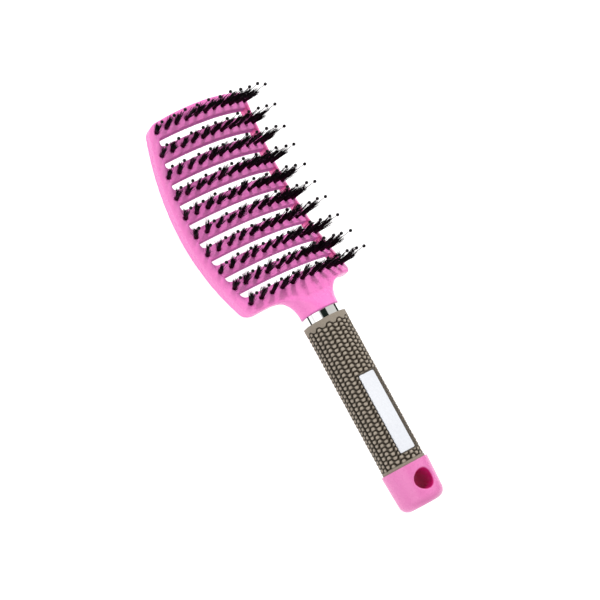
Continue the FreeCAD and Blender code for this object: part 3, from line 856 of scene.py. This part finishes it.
def grip_radius(x, angle):
    """Outer radius of the grip and its relief, before the panel's bay is cut."""
    relief, band = weave(x, angle)
    turned = (angle - SEAM_ANGLE + pi) % (2 * pi) - pi
    seam = np.exp(-((turned * GRIP_RAD / SEAM_HALF_WIDTH) ** 4)) * (1 - band)
    relief = relief * (1 - SEAM_DEPTH * seam)
    height = np.maximum(relief, BAND_LEVEL * band)
    return GRIP_RAD - PAD_HEIGHT * (1 - height), relief


def grip_stations(bay_back, bay_front):
    """Places of the grip's rings along X, doubled up at the two end walls of the panel's bay."""
    walls = (bay_back - BAY_WALL, bay_back + BAY_WALL, bay_front - BAY_WALL, bay_front + BAY_WALL)
    edges = (GRIP_BACK, *walls, GRIP_FRONT)
    stations = []
    for a, b in zip(edges, edges[1:]):
        count = max(1, round((b - a) / GRIP_STEP))
        stations += [a + (b - a) * k / count for k in range(count)]
    return np.array(stations + [GRIP_FRONT])


def seat_panel(grid_x, y, z, relief, bay_back, bay_front):
    """Cuts the panel's bay into the grip and smooths the rubber to a lip round it, with painted
    shade on the lip.
    """
    half = PANEL_WIDTH / 2 + BAY_GAP
    beside = np.abs(y) - half
    beyond = np.maximum(bay_back - grid_x, grid_x - bay_front)
    near = ramp((np.where(y > 0, LIP_NARROW, LIP_WIDE) - beside) / LIP_FADE)
    near = near * ramp((LIP_END - beyond) / LIP_FADE)
    lip = (z > 0) & (near > 0)
    # Painted shade on the lip: black along its +Y edge as a painted shadow line, darker than the
    # pads elsewhere.
    tone = np.where(y > half - 0.1, 0.0, LIP_PAINTED_SHADE)
    z = np.where(lip, np.minimum(z, z + (PANEL_TOP - LIP_DROP - z) * near), z)
    relief = np.where(lip, relief + (tone - relief) * near, relief)
    within = (grid_x > bay_back - BAY_SLACK) & (grid_x < bay_front + BAY_SLACK)
    bay = (z > 0) & (np.abs(y) < half) & within
    return np.where(bay, PANEL_TOP - PANEL_DEPTH, z), np.where(bay, 0.0, relief)


def make_grip():
    bay_back, bay_front = PANEL_X0 - BAY_GAP, PANEL_X0 + PANEL_LENGTH + BAY_GAP
    stations = grip_stations(bay_back, bay_front)
    angles = np.linspace(0, 2 * pi, GRIP_AROUND, endpoint=False)
    grid_x, grid_angle = np.meshgrid(stations, angles, indexing="ij")
    radius, relief = grip_radius(grid_x, grid_angle)
    y = radius * np.sin(grid_angle)
    z = radius * np.cos(grid_angle)
    z, relief = seat_panel(grid_x, y, z, relief, bay_back, bay_front)
    rings = [np.stack([grid_x, y, z], -1).reshape(-1, 3)]
    reliefs = [relief.ravel()]
    mouth_floor = GRIP_FRONT - MOUTH_DEPTH
    # Relief 1 on the front end and 0 in the mouth and bore, where the rubber's material paints
    # shade.
    for x, rad, tone in (
        (GRIP_FRONT, GRIP_RAD - GRIP_END_DROP, 1.0),
        (GRIP_FRONT, MOUTH_RAD + MOUTH_CHAMFER, 1.0),
        (GRIP_FRONT - MOUTH_EDGE, MOUTH_RAD, 1.0),
        (mouth_floor, MOUTH_RAD, 0.0),
        (mouth_floor, BORE_RAD, 0.0),
        (GRIP_BACK, BORE_RAD, 0.0),
    ):
        ring_x = np.full(GRIP_AROUND, x)
        rings.append(np.stack([ring_x, rad * np.sin(angles), rad * np.cos(angles)], -1))
        reliefs.append(np.full(GRIP_AROUND, tone))
    points = np.concatenate(rings)
    here = np.arange(len(points)).reshape(-1, GRIP_AROUND)
    beside = np.roll(here, -1, axis=1)
    corners = (np.roll(here, -1, axis=0), np.roll(beside, -1, axis=0), beside, here)
    piece = fast_mesh("grip_cover", points, np.stack(corners, -1).reshape(-1, 4), TAUPE)
    add_layer(piece, "relief", np.concatenate(reliefs))
    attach(piece, "root")
    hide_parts("grip_sleeve")


def make_panel():
    """The blank white panel, with rounded corners and a softened top edge."""
    half_length, half_width = PANEL_LENGTH / 2, PANEL_WIDTH / 2
    middle = PANEL_X0 + half_length
    rings = [(0.0, PANEL_TOP - PANEL_DEPTH + PANEL_GAP)]
    for k in range(PANEL_EDGE_STEPS + 1):
        angle = pi / 2 * k / PANEL_EDGE_STEPS
        inset = PANEL_EDGE * (1 - cos(angle))
        rings.append((inset, PANEL_TOP - PANEL_EDGE + PANEL_EDGE * sin(angle)))
    points = []
    for inset, high in rings:
        rad = PANEL_CORNER - inset
        for quarter, (right, up) in enumerate(((1, 1), (-1, 1), (-1, -1), (1, -1))):
            for k in range(PANEL_CORNER_POINTS):
                angle = pi / 2 * (quarter + k / (PANEL_CORNER_POINTS - 1))
                x = middle + right * (half_length - PANEL_CORNER) + rad * cos(angle)
                y = up * (half_width - PANEL_CORNER) + rad * sin(angle)
                points.append((x, y, high))
    around = 4 * PANEL_CORNER_POINTS
    top = tuple(range((len(rings) - 1) * around, len(rings) * around))
    bottom = tuple(reversed(range(around)))
    sides = tube_faces(len(rings), around)
    piece = mesh_object("blank_panel", points, sides + [top, bottom], WHITE)
    piece.data.polygons[len(sides)].use_smooth = False
    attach(piece, "root")
    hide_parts("label_panel")


# ---------------------------------------------------------------- stage
def make_stage():
    z = cad_box[0][2] - FLOOR_DROP
    corners = [(FLOOR_HALF * x, FLOOR_HALF * y, z) for x, y in ((-1, -1), (1, -1), (1, 1), (-1, 1))]
    mesh = bpy.data.meshes.new("floor")
    mesh.from_pydata(corners, [], [(0, 1, 2, 3)])
    floor = bpy.data.objects.new("floor", mesh)
    bpy.context.scene.collection.objects.link(floor)
    material, tree, shader = new_material("floor_white")
    shader.inputs["Base Color"].default_value = (0.5, 0.5, 0.5, 1)
    shader.inputs["Roughness"].default_value = 0.9
    shader.inputs["Specular IOR Level"].default_value = 0.0
    shader.inputs["Emission Color"].default_value = (1, 1, 1, 1)
    shader.inputs["Emission Strength"].default_value = FLOOR_GLOW
    floor.data.materials.append(material)


def make_world():
    """A room that is white on the +Y side and pale grey on the other, for reflections and light.

    A dark strip runs overhead and another low on the -Y side; both stop short of the room's ends.
    The camera itself sees plain white.
    """
    world = bpy.data.worlds.new("studio")
    bpy.context.scene.world = world
    world.use_nodes = True
    tree = world.node_tree
    axes = axes_of(tree, tree.nodes.new("ShaderNodeTexCoord").outputs["Generated"])
    around = calculate(tree, "ARCTAN2", axes["Y"], axes["Z"])
    walls = mix(tree, spread(tree, around, WHITE_SIDE), ROOM_GREY, ROOM_WHITE)
    near = spread(tree, around, OVERHEAD_NEAR)
    far = spread(tree, around, OVERHEAD_FAR, (1.0, 0.0))
    ends = spread(tree, calculate(tree, "ABSOLUTE", axes["X"]), DARK_ENDS, (1.0, 0.0))
    overhead = calculate(tree, "MULTIPLY", calculate(tree, "MULTIPLY", near, far), ends)
    low = calculate(tree, "COMPARE", around, LOW_STRIP, LOW_STRIP_HALF_WIDTH)
    dark = calculate(tree, "MAXIMUM", overhead, calculate(tree, "MULTIPLY", low, ends))
    room = mix(tree, dark, walls, ROOM_DARK)
    seen = tree.nodes.new("ShaderNodeLightPath").outputs["Is Camera Ray"]
    background = tree.nodes["Background"]
    tree.links.new(mix(tree, seen, room, ROOM_WHITE), background.inputs["Color"])
    background.inputs["Strength"].default_value = 1.0


def make_lights():
    for name, place, size, power, mirrored in LIGHTS:
        light = bpy.data.lights.new(name, "AREA")
        light.shape = "RECTANGLE"
        light.size, light.size_y = size
        light.energy = power
        lamp = bpy.data.objects.new(name, light)
        lamp.location = place
        to_aim = Vector(LIGHT_AIM) - Vector(place)
        lamp.rotation_euler = to_aim.to_track_quat("-Z", "Y").to_euler()
        lamp.visible_glossy = mirrored
        bpy.context.scene.collection.objects.link(lamp)


def make_camera():
    lens = bpy.data.cameras.new("camera")
    lens.sensor_width = SENSOR
    lens.lens = LENS
    lens.clip_start = CLIP_START
    camera = bpy.data.objects.new("camera", lens)
    ahead = Vector(CAMERA_AHEAD)
    right = ahead.cross(Vector(CAMERA_UP)).normalized()
    up = right.cross(ahead).normalized()
    turn = Matrix((right, up, -ahead.normalized())).transposed()
    camera.matrix_world = Matrix.Translation(CAMERA_PLACE) @ turn.to_4x4()
    bpy.context.scene.collection.objects.link(camera)
    bpy.context.scene.camera = camera


def finish_cad_nodes():
    """Materials for the pieces that stay as the CAD made them."""
    finishes = {"collar": CHROME, "end_cap": CAP_PINK, "handle_core": CORE}
    for row in range(1, ROWS + 1):
        finishes["staple_row_%02d" % row] = WIRE
    for name, material in finishes.items():
        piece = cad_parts[name]
        piece.data.materials.clear()
        piece.data.materials.append(material)


make_camera()
make_stage()
make_world()
make_lights()
make_head()
rng = np.random.default_rng(7)
for row in range(ROWS):
    make_tuft_row(row, rng)
for row in range(ROWS):
    make_pin_row(row, rng)
make_grip()
make_panel()
finish_cad_nodes()
bpy.context.scene.view_settings.view_transform = "Standard"
